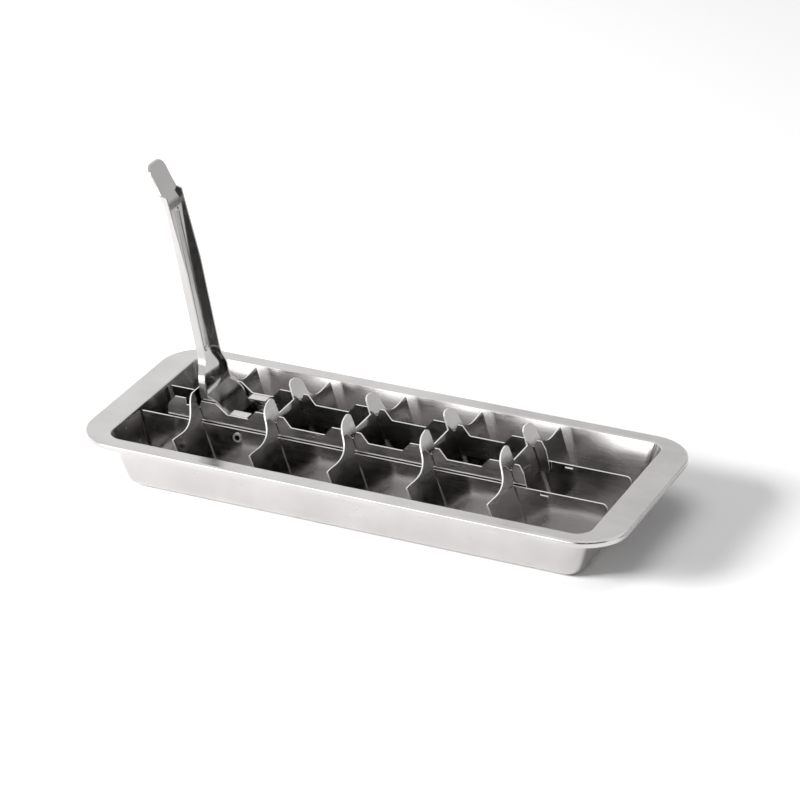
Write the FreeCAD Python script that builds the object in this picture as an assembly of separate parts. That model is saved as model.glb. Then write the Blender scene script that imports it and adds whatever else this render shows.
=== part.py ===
import FreeCAD, Part
import math
import os

# Lever ice cube tray in sheet steel, built at its real size in millimetres.
# X runs along the tray with the lever at -X, Y across it, Z up. The origin is the middle of the
# pan's underside, which rests on the table. The lever stands raised, as it is after a pull.
V = FreeCAD.Vector
X_AXIS = V(1, 0, 0)
Y_AXIS = V(0, 1, 0)
Z_AXIS = V(0, 0, 1)

# Pan
pan_depth = 27.0
pan_thick = 0.8
opening_length = 247.4
opening_width = 101.8
opening_corner_radius = 8.0
end_rim_width = 14.0
side_rim_width = 6.6
rim_corner_radius = 21.0
rim_edge_radius = 1.2
opening_edge_radius = 0.7
lip_height = 3.0
side_draft = 14.0
end_draft = 15.0
floor_bend_radius = 5.0
floor_corner_radius = 8.5

# Clearances
fit_gap = 0.05
run_gap = 0.4
bar_gap = 0.8
divider_gap = 0.9
window_gap = 0.75
prong_gap = 0.9

# Lever and its rivets, placed from the first cross wall's rocking line
lever_sheet = 1.0
lever_from_first_wall = 10.6
lever_pivot_height = 21.1
handle_half = 8.0
tongue_half = 7.3
base_half = 12.4
flare_top = 32.9
flare_bottom = 25.4
flange_top = 115.3
ear_radius = 4.8
rivet_radius = 1.7
rivet_bore_radius = 1.1
rivet_head_radius = 2.4
rivet_inner_head_radius = 2.9
rivet_head_thick = 0.5
rib_radius = 4.4
rib_height = 1.0
rib_bottom = 36.9
rib_top = 104.9

# Grid sheets, one beside the other outwards from the lever's base
sheet = 0.8
slide_offset = base_half + bar_gap + sheet / 2
divider_offset = slide_offset + sheet + divider_gap
divider_top = 25.3
divider_left_gap = 1.1
divider_right_gap = 2.6
divider_floor_corner = 5.0
divider_top_corner_radius = 2.5
nib_from_last_wall = 7.4
nib_length = 4.0
nib_height = 1.0
nib_below_top = 0.9
nib_reach = 0.45

# Cross walls, which rock on a bar under each divider
wall_count = 5
end_cell_loss = 3.8
wall_pitch = (opening_length - end_cell_loss) / (wall_count + 1)
rock_height = 2.2
rock_bar_below = 0.8
rock_bar_above = 1.4
wall_tilt = 19.5
wall_tip_half = 44.4
wall_tip_height = 28.6
wall_foot_half = 42.4
wall_foot_height = 4.6
wall_floor_half = 38.9
wall_middle_top = 34.6
prong_inner_half = handle_half + prong_gap
wall_middle_half = prong_inner_half - 0.6
prong_top = 42.8
first_wall_top = 40.2
first_wall_top_half = 14.0
window_inner_half = slide_offset - sheet / 2 - window_gap
window_outer_half = divider_offset + sheet / 2 + window_gap
window_step_half = (slide_offset + divider_offset) / 2
window_rise = 1.5

# Slide bars
slide_bottom = 20.2
slide_low_top = 30.9
slide_hump_top = 35.6
hump_lead = 21.3
hump_top_length = 15.1
hump_slope = 3.9
first_hump_left = 23.7
first_hump_right = 1.7
slide_tail = 2.0
notch_height = 32.2
notch_half = 0.85
first_wall_swing = 27.5
tab_before_pivot = 5.6
tab_length = 9.2
tab_reach = 6.7
tab_bend_radius = 1.2

def point(x, z, y=0.0):
    return V(x, y, z)


def rounded_rectangle(length, width, radius, z):
    """Closed wire of four sides and four corner arcs at height z."""
    a = length / 2
    b = width / 2
    k = radius * (1 - math.sqrt(0.5))
    edges = []
    corners = ((1, -1), (1, 1), (-1, 1), (-1, -1))
    for i, (sx, sy) in enumerate(corners):
        along_x = V(sx * (a - radius), sy * b, z)
        along_y = V(sx * a, sy * (b - radius), z)
        middle = V(sx * (a - k), sy * (b - k), z)
        start, end = (along_x, along_y) if sx * sy < 0 else (along_y, along_x)
        edges.append(Part.Arc(start, middle, end).toShape())
        nx, ny = corners[(i + 1) % 4]
        next_x = V(nx * (a - radius), ny * b, z)
        next_y = V(nx * a, ny * (b - radius), z)
        following = next_x if nx * ny < 0 else next_y
        edges.append(Part.LineSegment(end, following).toShape())
    return Part.Wire(edges)


def slab(length, width, radius, z0, z1):
    """Rounded rectangular plate from z0 to z1."""
    face = Part.Face(rounded_rectangle(length, width, radius, z0))
    return face.extrude(V(0, 0, z1 - z0))


def cup(length, width, radius, z_top, z_bottom, low_radius, bend):
    """Solid with the drafts of the pan, given its size at z_top, with a bend along its foot."""
    drop = z_top - z_bottom
    low_length = length - 2 * drop * math.tan(math.radians(end_draft))
    low_width = width - 2 * drop * math.tan(math.radians(side_draft))
    top = rounded_rectangle(length, width, radius, z_top)
    low = rounded_rectangle(low_length, low_width, low_radius, z_bottom)
    solid = Part.makeLoft([low, top], True, True)
    foot = [e for e in solid.Edges if e.BoundBox.ZMax < z_bottom + 0.01]
    return solid.makeFillet(bend, foot)


def path_edges(corners, radii):
    """Lines and tangent arcs through a list of (x, z) corners; each inner corner has a radius."""
    pts = [point(x, z) for x, z in corners]
    edges = []
    start = pts[0]
    for before, here, after, radius in zip(pts, pts[1:], pts[2:], radii):
        to_before = (before - here).normalize()
        to_after = (after - here).normalize()
        half = to_before.getAngle(to_after) / 2
        if radius <= 0 or half > math.radians(89.8):
            edges.append(Part.LineSegment(start, here).toShape())
            start = here
            continue
        cut = radius / math.tan(half)
        enter = here + to_before * cut
        leave = here + to_after * cut
        bisector = (to_before + to_after).normalize()
        centre = here + bisector * (radius / math.sin(half))
        middle = centre - bisector * radius
        if start.distanceToPoint(enter) > 1e-6:
            edges.append(Part.LineSegment(start, enter).toShape())
        edges.append(Part.Arc(enter, middle, leave).toShape())
        start = leave
    edges.append(Part.LineSegment(start, pts[-1]).toShape())
    return edges


def outline_edges(corners, radii):
    """Closed outline of lines and tangent arcs; corner 0 stays sharp."""
    return path_edges(corners + [corners[0]], radii)


def offset_path(corners, radii, distance):
    """The same path moved sideways, to its right as it runs, with its bend radii following."""
    moved = []
    moved_radii = []
    last = len(corners) - 1
    dirs = []
    for (x0, z0), (x1, z1) in zip(corners, corners[1:]):
        length = math.hypot(x1 - x0, z1 - z0)
        dirs.append(((x1 - x0) / length, (z1 - z0) / length))
    for i, (x, z) in enumerate(corners):
        d0 = dirs[max(i - 1, 0)]
        d1 = dirs[min(i, last - 1)]
        n0 = (d0[1], -d0[0])
        n1 = (d1[1], -d1[0])
        scale = distance / (1 + n0[0] * n1[0] + n0[1] * n1[1])
        moved.append((x + scale * (n0[0] + n1[0]), z + scale * (n0[1] + n1[1])))
        if 0 < i < last:
            turn = d0[0] * d1[1] - d0[1] * d1[0]
            moved_radii.append(radii[i - 1] + (distance if turn > 0 else -distance))
    return moved, moved_radii


def bent_sheet(corners, radii, thick, y0, y1):
    """Sheet whose section follows a path in XZ, its thickness to the right, from y0 to y1."""
    right, right_radii = offset_path(corners, radii, thick)
    left_edges = path_edges(corners, radii)
    right_edges = path_edges(right, right_radii)
    cap_low = Part.LineSegment(point(*corners[-1]), point(*right[-1])).toShape()
    cap_top = Part.LineSegment(point(*right[0]), point(*corners[0])).toShape()
    wire = Part.Wire(Part.__sortEdges__(left_edges + [cap_low] + right_edges + [cap_top]))
    section = Part.Face(wire)
    section.translate(V(0, y0, 0))
    return section.extrude(V(0, y1 - y0, 0))


def plate(edges, y0, y1):
    """Flat plate with an outline in XZ, from y0 to y1."""
    face = Part.Face(Part.Wire(Part.__sortEdges__(edges)))
    face.translate(V(0, y0, 0))
    return face.extrude(V(0, y1 - y0, 0))


def box(x0, x1, y0, y1, z0, z1):
    return Part.makeBox(x1 - x0, y1 - y0, z1 - z0, V(x0, y0, z0))


def mirrored(shape):
    return shape.mirror(V(0, 0, 0), Y_AXIS)


def pan_wall_x(z):
    """Half length of the pan's inside at height z."""
    return opening_length / 2 - (pan_depth - z) * math.tan(math.radians(end_draft))


def rock_x(index):
    """Place along the tray of the rocking line of a cross wall; index 0 is the lever's end."""
    return (index - (wall_count - 1) / 2) * wall_pitch


fulcrum_x = rock_x(0) + lever_from_first_wall
fulcrum_z = lever_pivot_height
slide_travel = 2 * (notch_height - rock_height) * math.tan(math.radians(wall_tilt))


def make_pan():
    """Drawn pan with its flat rim and turned-down edge."""
    lean_end = pan_thick / math.cos(math.radians(end_draft))
    lean_side = pan_thick / math.cos(math.radians(side_draft))
    outer_length = opening_length + 2 * lean_end
    outer_width = opening_width + 2 * lean_side
    outside = cup(outer_length, outer_width, opening_corner_radius + pan_thick, pan_depth, 0.0,
                  floor_corner_radius, floor_bend_radius)
    end_sink = math.tan(math.radians(end_draft)) * pan_thick
    side_sink = math.tan(math.radians(side_draft)) * pan_thick
    inside = cup(opening_length + 2 * end_sink, opening_width + 2 * side_sink,
                 opening_corner_radius, pan_depth + pan_thick, pan_thick,
                 floor_corner_radius - pan_thick, floor_bend_radius - pan_thick)
    flat_length = opening_length + 2 * end_rim_width
    flat_width = opening_width + 2 * side_rim_width
    edge_length = flat_length + 2 * rim_edge_radius
    edge_width = flat_width + 2 * rim_edge_radius
    edge_radius = rim_corner_radius + rim_edge_radius
    rim = slab(edge_length, edge_width, edge_radius, pan_depth - lip_height, pan_depth)
    crown = [e for e in rim.Edges if e.BoundBox.ZMin > pan_depth - 0.01]
    rim = rim.makeFillet(rim_edge_radius, crown)
    hollow = slab(edge_length - 2 * pan_thick, edge_width - 2 * pan_thick,
                  edge_radius - pan_thick, pan_depth - lip_height - 1, pan_depth - pan_thick)
    crown = [e for e in hollow.Edges if e.BoundBox.ZMin > pan_depth - pan_thick - 0.01]
    hollow = hollow.makeFillet(rim_edge_radius - pan_thick, crown)
    body = rim.cut(hollow).fuse(outside).cut(inside).removeSplitter()
    mouth = []
    for e in body.Edges:
        b = e.BoundBox
        if b.ZMin > pan_depth - 0.01 and b.XMax < opening_length / 2 + 1 \
                and b.XMin > -opening_length / 2 - 1 and abs(b.YMin) < opening_width / 2 + 1 \
                and abs(b.YMax) < opening_width / 2 + 1:
            mouth.append(e)
    return body.makeFillet(opening_edge_radius, mouth)


def make_divider():
    """Long fixed wall of the grid, on the near side, standing on the pan's floor."""
    floor = pan_thick
    end_slope = math.tan(math.radians(end_draft))
    left_top = -pan_wall_x(divider_top) + divider_left_gap
    right_top = pan_wall_x(divider_top) - divider_right_gap
    knee = floor + divider_floor_corner
    fall = (divider_top - knee) * end_slope
    outline = [
        (left_top, divider_top),
        (right_top, divider_top),
        (right_top - fall, knee),
        (right_top - fall - divider_floor_corner, floor),
        (left_top + fall + divider_floor_corner, floor),
        (left_top + fall, knee),
    ]
    radii = [divider_top_corner_radius, 3.0, 2.0, 2.0, 3.0]
    y0 = -divider_offset - sheet / 2
    y1 = -divider_offset + sheet / 2
    wall = plate(outline_edges(outline, radii), y0, y1)
    bar_top = rock_height + rock_bar_above + run_gap
    swing = math.sin(math.radians(wall_tilt))
    half = rock_bar_above * swing + sheet / 2 + run_gap
    for i in range(wall_count):
        wall = wall.cut(box(rock_x(i) - half, rock_x(i) + half, y0 - 1, y1 + 1, 0, bar_top))
    hole = Part.makeCylinder(rivet_radius, 4, V(fulcrum_x, y0 - 2, fulcrum_z), Y_AXIS)
    wall = wall.cut(hole)
    nib_top = divider_top - nib_below_top
    nib_low = nib_top - nib_height
    nib_place = rock_x(wall_count - 1) + nib_from_last_wall
    x0 = nib_place - nib_length / 2
    x1 = nib_place + nib_length / 2
    wall = wall.cut(box(x0, x1, y0 - 1, y1 + 1, nib_low, nib_top))
    nib = box(x0, x1, y0 - nib_reach, y1, nib_low - sheet, nib_low)
    return wall.fuse(nib).removeSplitter()


def wall_blank(first):
    """Flat cross wall in its own frame, before its windows are cut."""
    upright = math.cos(math.radians(wall_tilt))

    def up(z):
        return (z - rock_height) / upright

    foot = up(wall_foot_height)
    tip = V(0, wall_tip_half, up(wall_tip_height))
    if first:
        crest = [V(0, 36.0, up(28.2)), V(0, 28.5, up(28.9)), V(0, 23.6, up(32.0)),
                 V(0, 20.4, up(36.5)), V(0, 17.6, up(39.4)),
                 V(0, first_wall_top_half, up(first_wall_top))]
        edges = [curve([tip] + crest)]
        edges.append(Part.LineSegment(crest[-1], V(0, 0, up(first_wall_top))).toShape())
        middle = V(0, 0, up(first_wall_top))
    else:
        shoulder = [V(0, 36.0, up(28.4)), V(0, 28.5, up(28.9)), V(0, 24.9, up(30.4)),
                    V(0, 22.7, up(32.6)), V(0, 21.6, up(35.2)), V(0, 20.9, up(38.0)),
                    V(0, 19.3, up(40.4)), V(0, 16.6, up(42.1)), V(0, 13.4, up(prong_top))]
        inner = [V(0, 13.4, up(prong_top)), V(0, prong_inner_half + 1.4, up(prong_top - 0.2)),
                 V(0, prong_inner_half, up(prong_top - 1.5))]
        root = V(0, wall_middle_half, up(wall_middle_top))
        middle = V(0, 0, up(wall_middle_top))
        edges = [curve([tip] + shoulder), curve(inner)]
        edges.append(Part.LineSegment(inner[-1], root).toShape())
        edges.append(Part.LineSegment(root, middle).toShape())
    low = V(0, 0, -rock_bar_below)
    toe = V(0, wall_floor_half, -rock_bar_below)
    heel = V(0, wall_foot_half, foot)
    edges.append(Part.LineSegment(middle, low).toShape())
    edges.append(Part.LineSegment(low, toe).toShape())
    knee = V(0, wall_foot_half - 0.8, foot * 0.25)
    edges.append(Part.Arc(toe, knee, heel).toShape())
    edges.append(Part.LineSegment(heel, tip).toShape())
    half = Part.Face(Part.Wire(Part.__sortEdges__(edges)))
    half.translate(V(-sheet / 2, 0, 0))
    half = half.extrude(V(sheet, 0, 0))
    return half.fuse(mirrored(half)).removeSplitter()


def curve(points):
    spline = Part.BSplineCurve()
    spline.interpolate(points)
    return spline.toShape()


def make_cross_wall(index):
    """Cross wall with a window on each side for the divider and the slide bar beside it."""
    upright = math.cos(math.radians(wall_tilt))
    wall = wall_blank(index == 0)
    slide_window_top = (notch_height + run_gap + sheet / 2 - rock_height) / upright
    divider_window_top = (divider_top + window_rise - rock_height) / upright
    low = rock_bar_above
    for side in (-1, 1):
        for a, b, top in ((window_inner_half, window_step_half, slide_window_top),
                          (window_step_half, window_outer_half, divider_window_top)):
            y0 = min(side * a, side * b)
            y1 = max(side * a, side * b)
            wall = wall.cut(box(-5, 5, y0, y1, low, top))
    wall = wall.removeSplitter()
    wall.rotate(V(0, 0, 0), Y_AXIS, -wall_tilt)
    wall.translate(V(rock_x(index), 0, rock_height))
    return wall


def make_slide_bar():
    """Humped bar inside the near divider, with a notch for each wall and a tab for the lever."""
    reach = (notch_height - rock_height) * math.tan(math.radians(wall_tilt))
    last = wall_count - 1
    start = rock_x(0) - first_hump_left
    outline = [(start - hump_slope, slide_bottom), (start - hump_slope, slide_low_top),
               (start, slide_hump_top), (rock_x(0) - first_hump_right, slide_hump_top),
               (rock_x(0) - first_hump_right + hump_slope + 2, slide_low_top)]
    for i in range(1, wall_count):
        left = rock_x(i) - hump_lead
        right = left + hump_top_length
        outline += [(left - hump_slope, slide_low_top), (left, slide_hump_top),
                    (right, slide_hump_top)]
        if i < last:
            outline.append((right + hump_slope, slide_low_top))
    end = rock_x(last) - slide_tail
    outline += [(right + hump_slope * 0.6, slide_low_top + 0.6), (end, slide_bottom + 3.0),
                (end, slide_bottom)]
    radii = [0.8] * (len(outline) - 1)
    y0 = -slide_offset - sheet / 2
    y1 = -slide_offset + sheet / 2
    bar = plate(outline_edges(outline, radii), y0, y1)
    lean = math.tan(math.radians(wall_tilt))
    top = slide_hump_top + 1
    for i in range(1, wall_count):
        x = rock_x(i) - reach
        flare = (top - notch_height) * lean
        notch = [(x - notch_half, notch_height), (x + notch_half, notch_height),
                 (x + notch_half + flare, top), (x - notch_half - flare, top)]
        bar = bar.cut(plate(outline_edges(notch, [0, 0, 0]), y0 - 1, y1 + 1))
    far_tilt = math.radians(first_wall_swing - wall_tilt)
    x1 = rock_x(0) - reach + notch_half
    x0 = rock_x(0) + (notch_height - rock_height) * math.tan(far_tilt) - slide_travel - notch_half
    bar = bar.cut(box(x0, x1, y0 - 1, y1 + 1, notch_height, top))
    arch_top = fulcrum_z + rivet_radius + run_gap
    arch_left = fulcrum_x - slide_travel - rivet_radius - run_gap
    arch_right = fulcrum_x + rivet_radius + run_gap
    bar = bar.cut(box(arch_left, arch_right, y0 - 1, y1 + 1, 0, arch_top))
    return bar.fuse(make_tab(y0, y1)).removeSplitter()


def make_tab(y0, y1):
    """Tab folded inwards from the top edge of the near slide bar."""
    path = [(0.0, slide_low_top - 3.0), (0.0, slide_low_top),
            (tab_reach, slide_low_top)]
    strip = bent_sheet(path, [tab_bend_radius + sheet], sheet, 0, tab_length)
    strip.rotate(V(0, 0, 0), Z_AXIS, 90)
    strip.translate(V(fulcrum_x - tab_before_pivot + tab_length, y0, 0))
    return strip


def lever_side_edges():
    """Side outline of the lever: rear face, flange edge, rounded lobe and ear round its rivet."""
    corners, radii = lever_rear_path()
    tip, bend = corners[0], corners[1]
    share = (flange_top - bend[1]) / (tip[1] - bend[1])
    rear = [(bend[0] + share * (tip[0] - bend[0]), flange_top)] + corners[1:]
    rear_radii = radii
    ear_top = point(-0.29 * ear_radius, 0.957 * ear_radius)
    ear_far = point(ear_radius, 0.0)
    ear_low = point(-0.34 * ear_radius, -0.94 * ear_radius)
    start = (rear[0][0] + 3.9, rear[0][1] - 1.0)
    front = [start, (-29.5, 78.9), (-20.6, 34.9), (-18.6, 22.9), (-17.4, 16.3), (-14.9, 15.6)]
    edges = path_edges(rear, rear_radii)
    edges.append(Part.LineSegment(point(*rear[0]), point(*start)).toShape())
    edges += path_edges(front, [60.0, 20.0, 20.0, 1.0])
    lobe_end = point(-8.6, 8.5)
    edges.append(Part.Arc(point(*front[-1]), point(-11.0, 13.0), lobe_end).toShape())
    neck = point(-7.0, 6.7)
    edges.append(Part.LineSegment(lobe_end, neck).toShape())
    edges.append(Part.LineSegment(neck, ear_top).toShape())
    edges.append(Part.Arc(ear_top, ear_far, ear_low).toShape())
    edges.append(Part.LineSegment(ear_low, point(*rear[-1])).toShape())
    return edges


def lever_rear_path():
    """Rear face of the raised lever from its tip down to the foot, measured from its pivot."""
    corners = [(-50.8, 129.5), (-39.6, 109.1), (-24.0, 32.4), (-22.1, 24.9), (-21.7, 17.4),
               (-16.4, 5.3), (-11.0, -0.3)]
    radii = [20.0, 20.0, 20.0, 14.0, 14.0]
    return corners, radii


def lever_half_outline():
    """Outer half width of the lever against height above its pivot, as edges in YZ."""
    tip = 129.4
    low = -21.0
    top = [(0.0, tip), (0.0, low), (base_half, low), (base_half, flare_bottom),
           (handle_half, flare_top), (handle_half, 112.0), (tongue_half, 119.0),
           (tongue_half, 123.6)]
    edges = path_edges(top, [0, 0, 8.0, 8.0, 12.0, 12.0])
    shoulder = point(tongue_half, 123.6)
    middle = point(tongue_half - 0.9, 127.1)
    round_end = point(tongue_half - 3.6, 128.5)
    edges.append(Part.Arc(shoulder, middle, round_end).toShape())
    edges.append(Part.LineSegment(round_end, point(0.0, 128.6)).toShape())
    edges.append(Part.LineSegment(point(0.0, 128.6), point(0.0, tip)).toShape())
    return edges


def turned_to_yz(shape):
    """Turns a shape drawn in XZ so that its X becomes Y."""
    shape.rotate(V(0, 0, 0), Z_AXIS, 90)
    return shape


def make_lever():
    """Lever pressed from one sheet: thumb tongue, flanged handle, wide base with two cheeks."""
    corners, radii = lever_rear_path()
    web = bent_sheet(corners, radii, -lever_sheet, -40, 40)
    half = turned_to_yz(plate(lever_half_outline(), -10, 70))
    web = web.common(half.fuse(mirrored(half)))
    side = [(handle_half, flange_top), (handle_half, flare_top), (base_half, flare_bottom),
            (base_half, -11.0)]
    flange = turned_to_yz(bent_sheet(side, [8.0, 8.0], lever_sheet, -10, 70))
    flange = flange.fuse(mirrored(flange))
    flange = flange.common(plate(lever_side_edges(), -40, 40))
    lever = web.fuse(flange)
    rib, groove = make_rib(corners)
    lever = lever.fuse(rib).cut(groove)
    lever = lever.cut(Part.makeCylinder(rivet_radius + fit_gap, 60, V(0, -30, 0), Y_AXIS))
    lever = lever.removeSplitter()
    lever.translate(V(fulcrum_x, 0, fulcrum_z))
    return lever


def make_rib(corners):
    """Stiffening rib pressed into the handle: the raised back and the groove inside it."""
    (x1, z1), (x2, z2) = corners[1], corners[2]
    axis = (point(x1, z1) - point(x2, z2)).normalize()
    outward = V(-axis.z, 0, axis.x)
    low = point(x2, z2) + axis * ((rib_bottom - z2) / axis.z)
    high = point(x2, z2) + axis * ((rib_top - z2) / axis.z)
    bodies = []
    for radius in (rib_radius, rib_radius - lever_sheet):
        sink = outward * (rib_height - rib_radius)
        rod = Part.makeCylinder(radius, (high - low).Length, low + sink, axis)
        rod = rod.fuse(Part.makeSphere(radius, low + sink))
        rod = rod.fuse(Part.makeSphere(radius, high + sink))
        bodies.append(rod)
    rib, groove = bodies
    length = (high - low).Length + 4 * rib_radius
    behind = Part.makeBox(length, 40, 20)
    behind.translate(V(-length / 2, -20, 0))
    behind.rotate(V(0, 0, 0), Y_AXIS, -math.degrees(math.atan2(axis.z, axis.x)))
    middle = (high + low) * 0.5
    behind.translate(middle - outward * (lever_sheet * 0.5))
    if behind.CenterOfMass.sub(middle).dot(outward) < 0:
        behind.rotate(middle, axis, 180)
    return rib.common(behind), groove


def make_rivet():
    """Hollow rivet through the near divider and the lever's near cheek."""
    y_out = -divider_offset - sheet / 2
    y_in = -base_half + lever_sheet + fit_gap
    length = y_in - y_out
    shank = Part.makeCylinder(rivet_radius, length, V(fulcrum_x, y_out, fulcrum_z), Y_AXIS)
    outer = Part.makeCylinder(rivet_head_radius, rivet_head_thick,
                              V(fulcrum_x, y_out - rivet_head_thick, fulcrum_z), Y_AXIS)
    inner = Part.makeCylinder(rivet_inner_head_radius, rivet_head_thick,
                              V(fulcrum_x, y_in, fulcrum_z), Y_AXIS)
    bore = Part.makeCylinder(rivet_bore_radius, 20, V(fulcrum_x, y_out - 2, fulcrum_z), Y_AXIS)
    return shank.fuse(outer).fuse(inner).cut(bore).removeSplitter()


def save(name, shape):
    solids = len(shape.Solids)
    print(f"{name}: {solids} solid, {shape.Volume:.0f} mm3, valid {shape.isValid()}")
    shape.exportStep(f"parts/{name}.step")


os.makedirs("parts", exist_ok=True)
save("pan", make_pan())
near_divider = make_divider()
save("near_divider", near_divider)
save("far_divider", mirrored(near_divider))
near_rivet = make_rivet()
save("near_fulcrum_rivet", near_rivet)
save("far_fulcrum_rivet", mirrored(near_rivet))
near_bar = make_slide_bar()
save("near_slide_bar", near_bar)
save("far_slide_bar", mirrored(near_bar))
save("lever", make_lever())
for number in range(wall_count):
    save(f"cross_wall_{number + 1}", make_cross_wall(number))
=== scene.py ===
import math
import bpy
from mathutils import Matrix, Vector

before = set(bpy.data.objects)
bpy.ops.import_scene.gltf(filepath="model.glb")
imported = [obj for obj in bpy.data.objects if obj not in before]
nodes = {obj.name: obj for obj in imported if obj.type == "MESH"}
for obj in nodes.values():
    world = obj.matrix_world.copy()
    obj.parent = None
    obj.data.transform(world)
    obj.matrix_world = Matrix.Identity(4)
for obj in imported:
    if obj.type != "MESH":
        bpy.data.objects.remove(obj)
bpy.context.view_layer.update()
scene = bpy.context.scene

# Lengths are in metres, in the CAD frame: X along the tray with the lever at low X, Z up
WALL_LEAN = math.radians(19.5)
RIVET_CENTRE = (-0.0706, 0, 0.0211)
RIVET_BORE_RADIUS = 0.00115
BORE_FADE = 0.0003
BAR_INNER_FACE = 0.0132
SLOT_OUTER_SIDE = 0.0178
SLOT_TOP = 0.0335
OVER_EVERYTHING = 1.0

# Directions of the drawn grain, and the way that a flat sheet faces
ALONG_X = (1, 0, 0)
ALONG_Y = (0, 1, 0)
ALONG_Z = (0, 0, 1)
SIDEWAYS = (0, 1, 0)
WALL_FACE = (math.cos(WALL_LEAN), 0, math.sin(WALL_LEAN))

# Steel is slightly warm: its tint in the darker and in the lighter patches of the haze
DARK_TINT = (1.0, 0.975, 0.965)
LIGHT_TINT = (1.0, 0.978, 0.97)
DARK_PATCH = 0.90
# Painted highlight: the near-white colour that the sheet edges are blended to
EDGE_HIGHLIGHT = (0.93, 0.925, 0.915, 1)
# Painted shade: the near-black colour inside the rivets' bores
BORE_PAINTED_SHADE = (0.05, 0.047, 0.045, 1)
EDGE_EXTRA_ROUGHNESS = 0.32

# Rounding of the edges
SHEET_EDGE = 0.00016
RIVET_EDGE = 0.0004
SHARPEST_ANGLE = math.radians(50)

WHITE = (1, 1, 1, 1)
TABLE_WHITE = (0.94, 0.94, 0.94, 1)
TABLE_SIZE = 12
TABLE_TOP = -0.0002
WORLD_AS_LIGHT = 0.30
WORLD_AS_SEEN = 1.0

# The photo's camera, fitted to the straight edges of the rim
CAMERA_PLACE = (0.660741, -1.442786, 0.816051)
CAMERA_TARGET = (-0.039635, 0.105182, -0.006)
CAMERA_LENS = 167.4607
CAMERA_SENSOR = 36


def node(tree, kind, **values):
    """Adds a shader node; keywords set its inputs by name, with underscores for spaces."""
    made = tree.nodes.new(kind)
    for key, value in values.items():
        made.inputs[key.replace("_", " ")].default_value = value
    return made


def ramp(tree, source, span, result):
    """Maps a value from one span of two numbers to another, and holds it at the ends."""
    made = node(tree, "ShaderNodeMapRange", From_Min=span[0], From_Max=span[1],
                To_Min=result[0], To_Max=result[1])
    tree.links.new(source, made.inputs["Value"])
    return made.outputs["Result"]


def maths(tree, operation, first, second=None):
    """Adds a Math node on one or two outputs."""
    made = node(tree, "ShaderNodeMath")
    made.operation = operation
    tree.links.new(first, made.inputs[0])
    if second is not None:
        tree.links.new(second, made.inputs[1])
    return made.outputs["Value"]


def vector_maths(tree, operation, first, second=None, output="Vector"):
    """Adds a Vector Math node; the second operand is an output or three plain numbers."""
    made = node(tree, "ShaderNodeVectorMath")
    made.operation = operation
    tree.links.new(first, made.inputs[0])
    if isinstance(second, tuple):
        made.inputs[1].default_value = second
    elif second is not None:
        tree.links.new(second, made.inputs[1])
    return made.outputs[output]


def blend(tree, amount, first, second):
    """Mixes two colours, each an output or a plain colour; the amount is the second's share."""
    made = node(tree, "ShaderNodeMix")
    made.data_type = "RGBA"
    for socket, colour in (("A", first), ("B", second)):
        if isinstance(colour, tuple):
            made.inputs[socket].default_value = colour
        else:
            tree.links.new(colour, made.inputs[socket])
    tree.links.new(amount, made.inputs["Factor"])
    return made.outputs["Result"]


def split(tree, source):
    """Splits a vector into its X, Y and Z outputs."""
    made = node(tree, "ShaderNodeSeparateXYZ")
    tree.links.new(source, made.inputs["Vector"])
    return made.outputs


def drawn_noise(tree, coord, along, scale, squeeze, detail, roughness=0.55):
    """Noise drawn out along one direction by being squeezed across it."""
    mapping = node(tree, "ShaderNodeMapping")
    mapping.inputs["Scale"].default_value = [scale if axis else scale * squeeze for axis in along]
    tree.links.new(coord, mapping.inputs["Vector"])
    noise = node(tree, "ShaderNodeTexNoise", Scale=1.0, Detail=detail, Roughness=roughness)
    tree.links.new(mapping.outputs["Vector"], noise.inputs["Vector"])
    return noise.outputs["Fac"]


def sheared_edges(tree, own_normal, place, face, no_highlight_core):
    """1 on the edges, which face across the sheet's own face, and whose colour gets a painted
    highlight.

    The core without the painted highlight is a half width and a height. Tabs and sides of slots
    inside it stay at 0.
    """
    facing = vector_maths(tree, "DOT_PRODUCT", own_normal, face, "Value")
    amount = ramp(tree, maths(tree, "ABSOLUTE", facing), (0.55, 0.85), (1.0, 0.0))
    if no_highlight_core is None:
        return amount
    half_width, top = no_highlight_core
    off_middle = maths(tree, "ABSOLUTE", place["Y"])
    beside = ramp(tree, off_middle, (half_width - 0.0002, half_width), (0.0, 1.0))
    above = ramp(tree, place["Z"], (top - 0.0005, top), (0.0, 1.0))
    return maths(tree, "MULTIPLY", amount, maths(tree, "MAXIMUM", beside, above))


def outside_bore(tree, coord):
    """0 in the rivet's bore, which gets painted shade, and 1 from its rolled ring outwards."""
    offset = vector_maths(tree, "SUBTRACT", coord, RIVET_CENTRE)
    radial = vector_maths(tree, "MULTIPLY", offset, (1, 0, 1))
    radius = vector_maths(tree, "LENGTH", radial, output="Value")
    return ramp(tree, radius, (RIVET_BORE_RADIUS, RIVET_BORE_RADIUS + BORE_FADE), (0.0, 1.0))


def scratches(tree, coord, along):
    """Thin scratches, -1 in the middle of each and 0 off it, mostly along the grain."""
    turn = node(tree, "ShaderNodeMapping", Rotation=(0.2, 0.35, 0.5))
    turn.inputs["Scale"].default_value = [26.0 if axis else 150.0 for axis in along]
    tree.links.new(coord, turn.inputs["Vector"])
    cells = node(tree, "ShaderNodeTexVoronoi", Scale=1.0)
    cells.feature = "DISTANCE_TO_EDGE"
    tree.links.new(turn.outputs["Vector"], cells.inputs["Vector"])
    return ramp(tree, cells.outputs["Distance"], (0.0, 0.006), (-1.0, 0.0))


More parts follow.
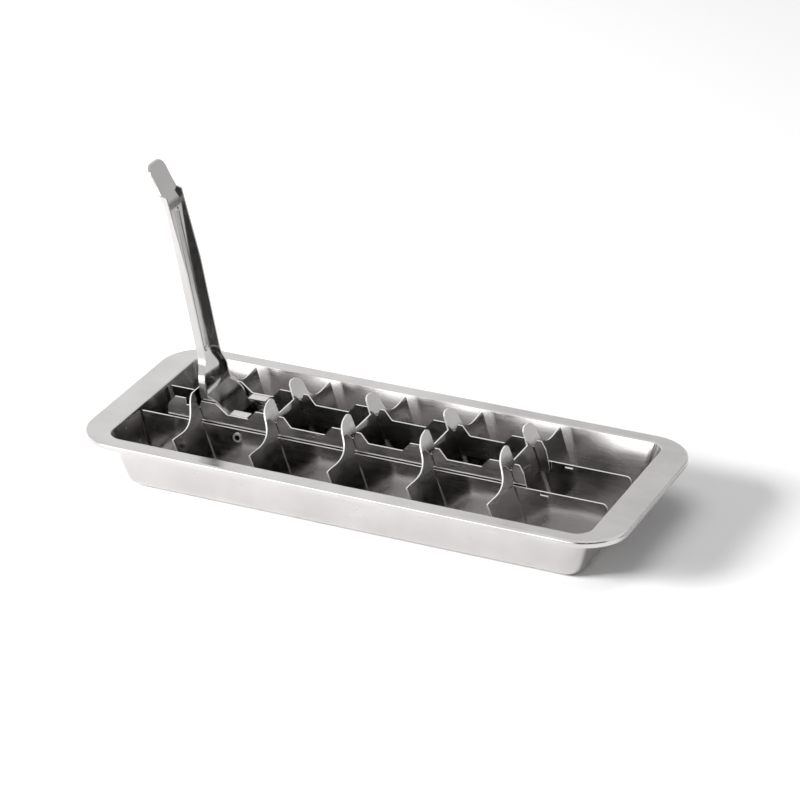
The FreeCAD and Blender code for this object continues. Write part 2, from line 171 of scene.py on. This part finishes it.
def lifted_under_rim(tree, normal, own_normal, place, lift):
    """Turns the pan's inner side upwards near the rim, where the drawn sheet opens wider."""
    slope = split(tree, own_normal)["Z"]
    is_side = maths(tree, "MULTIPLY", ramp(tree, slope, (0.14, 0.20), (0.0, 1.0)),
                    ramp(tree, slope, (0.30, 0.45), (1.0, 0.0)))
    near_rim = ramp(tree, place["Z"], (0.014, 0.026), (0.0, lift))
    upward = node(tree, "ShaderNodeCombineXYZ")
    tree.links.new(maths(tree, "MULTIPLY", is_side, near_rim), upward.inputs["Z"])
    turned = vector_maths(tree, "ADD", normal, upward.outputs["Vector"])
    return vector_maths(tree, "NORMALIZE", turned)


def stainless(name, shade, rough, grain, along=ALONG_X, face=None, no_highlight_core=None,
              rim_lift=None, bore=False):
    """Rolled stainless sheet: drawn grain along one direction, cloudy haze, rubs and scratches,
    with a painted highlight on the sheet edges and painted shade in a rivet's bore.
    """
    mat = bpy.data.materials.new(name)
    mat.use_nodes = True
    tree = mat.node_tree
    shader = tree.nodes["Principled BSDF"]
    shader.inputs["Metallic"].default_value = 1.0
    coord = node(tree, "ShaderNodeTexCoord").outputs["Object"]
    own_normal = node(tree, "ShaderNodeTexCoord").outputs["Normal"]
    place = split(tree, coord)

    haze = drawn_noise(tree, coord, along, scale=38.0, squeeze=1.0, detail=4.0)
    smear = drawn_noise(tree, coord, along, scale=90.0, squeeze=2.2, detail=3.0)
    lines = drawn_noise(tree, coord, along, scale=60.0, squeeze=30.0, detail=1.0)
    fine = drawn_noise(tree, coord, along, scale=1900.0, squeeze=1.0, detail=2.0, roughness=0.7)
    dents = drawn_noise(tree, coord, along, scale=28.0, squeeze=1.0, detail=1.5)

    # Colour and roughness
    dark = tuple(shade * DARK_PATCH * part for part in DARK_TINT) + (1,)
    light = tuple(shade * part for part in LIGHT_TINT) + (1,)
    colour = blend(tree, ramp(tree, haze, (0.35, 0.65), (0.0, 1.0)), dark, light)
    rubbed = ramp(tree, smear, (0.3, 0.7), (rough - 0.04, rough + 0.05))
    finish = maths(tree, "ADD", rubbed, ramp(tree, lines, (0.3, 0.7), (-0.02, 0.04)))
    # Painted highlight: the edges' colour is blended to near white, and the edges are also made
    # rougher
    if face is not None:
        amount = sheared_edges(tree, own_normal, place, face, no_highlight_core)
        colour = blend(tree, amount, colour, EDGE_HIGHLIGHT)
        torn = ramp(tree, amount, (0.0, 1.0), (0.0, EDGE_EXTRA_ROUGHNESS))
        finish = maths(tree, "ADD", finish, torn)
    # Painted shade: the rivet's bore is painted nearly black
    if bore:
        colour = blend(tree, outside_bore(tree, coord), BORE_PAINTED_SHADE, colour)
    tree.links.new(finish, shader.inputs["Roughness"])
    tree.links.new(colour, shader.inputs["Base Color"])

    # Grain and scratches, over shallow dents
    height = maths(tree, "ADD", ramp(tree, lines, (0.0, 1.0), (0.0, 0.7)),
                   ramp(tree, fine, (0.0, 1.0), (0.0, 0.5)))
    cut = ramp(tree, scratches(tree, coord, along), (-1.0, 0.0), (-0.2, 0.0))
    bump = node(tree, "ShaderNodeBump", Strength=grain, Distance=0.00006)
    tree.links.new(maths(tree, "ADD", height, cut), bump.inputs["Height"])
    wave = node(tree, "ShaderNodeBump", Strength=0.25, Distance=0.0012)
    tree.links.new(dents, wave.inputs["Height"])
    tree.links.new(bump.outputs["Normal"], wave.inputs["Normal"])
    normal = wave.outputs["Normal"]
    if rim_lift is not None:
        normal = lifted_under_rim(tree, normal, own_normal, place, rim_lift)
    tree.links.new(normal, shader.inputs["Normal"])
    return mat


def aimed(made, place, target, front):
    """Stands an object at a place with its front, one of its own axes, towards a target."""
    made.location = place
    made.rotation_mode = "QUATERNION"
    made.rotation_quaternion = (Vector(target) - Vector(place)).to_track_quat(front, "Y")


def lamp(name, place, target, size, power):
    """Softbox that lights the tray and isn't mirrored in it."""
    data = bpy.data.lights.new(name, "AREA")
    data.shape = "RECTANGLE"
    data.size, data.size_y = size
    data.energy = power
    made = bpy.data.objects.new(name, data)
    scene.collection.objects.link(made)
    aimed(made, place, target, "-Z")
    made.visible_glossy = False


def card(name, place, target, size, strength):
    """Grey or white reflector that only the metal sees."""
    bpy.ops.mesh.primitive_plane_add(size=1, location=place)
    made = bpy.context.object
    made.name = name
    made.scale = (size[0], size[1], 1)
    aimed(made, place, target, "Z")
    look = bpy.data.materials.new(name)
    look.use_nodes = True
    tree = look.node_tree
    tree.nodes.remove(tree.nodes["Principled BSDF"])
    glow = node(tree, "ShaderNodeEmission", Color=WHITE, Strength=strength)
    tree.links.new(glow.outputs["Emission"], tree.nodes["Material Output"].inputs["Surface"])
    made.data.materials.append(look)
    made.visible_camera = False
    made.visible_diffuse = False
    made.visible_shadow = False


# The pieces, all one stainless steel. Their shades are painted light: each piece is set lighter or
# darker to stand in for the light and shade that falls on it
pan_steel = stainless("pan_steel", shade=0.65, rough=0.20, grain=0.20, rim_lift=0.10)
divider_steel = stainless("divider_steel", shade=0.62, rough=0.13, grain=0.05, face=SIDEWAYS)
bar_steel = stainless("bar_steel", shade=0.66, rough=0.20, grain=0.05, face=SIDEWAYS,
                      no_highlight_core=(BAR_INNER_FACE, OVER_EVERYTHING))
wall_steel = stainless("wall_steel", shade=0.46, rough=0.12, grain=0.10, along=ALONG_Y,
                       face=WALL_FACE, no_highlight_core=(SLOT_OUTER_SIDE, SLOT_TOP))
lever_steel = stainless("lever_steel", shade=0.53, rough=0.14, grain=0.12, along=ALONG_Z)
# Painted highlight: the rivets' near-white shade stands in for the light that their rolled rings
# catch
rivet_steel = stainless("rivet_steel", shade=0.92, rough=0.42, grain=0.12, bore=True)
steels = {
    "pan": pan_steel,
    "near_divider": divider_steel,
    "far_divider": divider_steel,
    "near_slide_bar": bar_steel,
    "far_slide_bar": bar_steel,
    "near_fulcrum_rivet": rivet_steel,
    "far_fulcrum_rivet": rivet_steel,
    "lever": lever_steel,
}
for name, piece in nodes.items():
    piece.data.materials.clear()
    piece.data.materials.append(steels.get(name, wall_steel))
    if name != "pan":
        is_rivet = "rivet" in name
        edge = piece.modifiers.new("sheared edge", "BEVEL")
        edge.width = RIVET_EDGE if is_rivet else SHEET_EDGE
        edge.segments = 3 if is_rivet else 2
        edge.limit_method = "ANGLE"
        edge.angle_limit = SHARPEST_ANGLE

# The table, white to the eye and to the metal, which keeps the tray's shadow
bpy.ops.mesh.primitive_plane_add(size=TABLE_SIZE, location=(0, 0, TABLE_TOP))
floor = bpy.context.object
floor.name = "floor"
floor_look = bpy.data.materials.new("floor")
floor_look.use_nodes = True
floor_shader = floor_look.node_tree.nodes["Principled BSDF"]
floor_shader.inputs["Base Color"].default_value = TABLE_WHITE
floor_shader.inputs["Roughness"].default_value = 0.9
floor_shader.inputs["Specular IOR Level"].default_value = 0.0
floor.data.materials.append(floor_look)

# The world, white where it is looked at or mirrored and dimmer as light
world = bpy.data.worlds.new("studio")
scene.world = world
world.use_nodes = True
world_tree = world.node_tree
background = world_tree.nodes["Background"]
background.inputs["Color"].default_value = WHITE
ray = node(world_tree, "ShaderNodeLightPath").outputs
seen = maths(world_tree, "MAXIMUM", ray["Is Camera Ray"], ray["Is Glossy Ray"])
seen = maths(world_tree, "MAXIMUM", seen, ray["Is Transmission Ray"])
brightness = ramp(world_tree, seen, (0.0, 1.0), (WORLD_AS_LIGHT, WORLD_AS_SEEN))
world_tree.links.new(brightness, background.inputs["Strength"])

# Lamps, in watts
lamp("key", place=(-1.35, -1.05, 0.85), target=(0, 0, 0), size=(0.9, 0.6), power=66)
lamp("top", place=(-0.2, 0.1, 2.2), target=(0, 0, 0), size=(1.8, 1.4), power=17)

# Cards: a bright window behind the camera, and dull ones that darken what the steel mirrors
card("window", place=(-0.75, -1.7, 0.30), target=(0, 0, 0.02), size=(1.9, 0.90), strength=3.0)
card("dark_front", place=(0.95, -1.22, 0.75), target=(0, 0, 0), size=(2.5, 1.3), strength=0.11)
card("dull_back", place=(0.30, 0.98, 0.48), target=(0.3, 0, 0.40), size=(1.35, 0.66),
     strength=0.78)
card("dull_side", place=(0.80, 0.80, 0.06), target=(0, 0, 0.05), size=(1.3, 0.36), strength=0.26)
card("dull_table_front", place=(0.46, -0.56, 0.0004), target=(0.46, -0.56, 1.0),
     size=(1.16, 0.82), strength=0.10)

camera_data = bpy.data.cameras.new("photo")
camera_data.lens = CAMERA_LENS
camera_data.sensor_width = CAMERA_SENSOR
camera_data.clip_start = 0.05
camera_data.clip_end = 30
camera = bpy.data.objects.new("photo", camera_data)
scene.collection.objects.link(camera)
aimed(camera, CAMERA_PLACE, CAMERA_TARGET, "-Z")
scene.camera = camera
scene.view_settings.view_transform = "Standard"
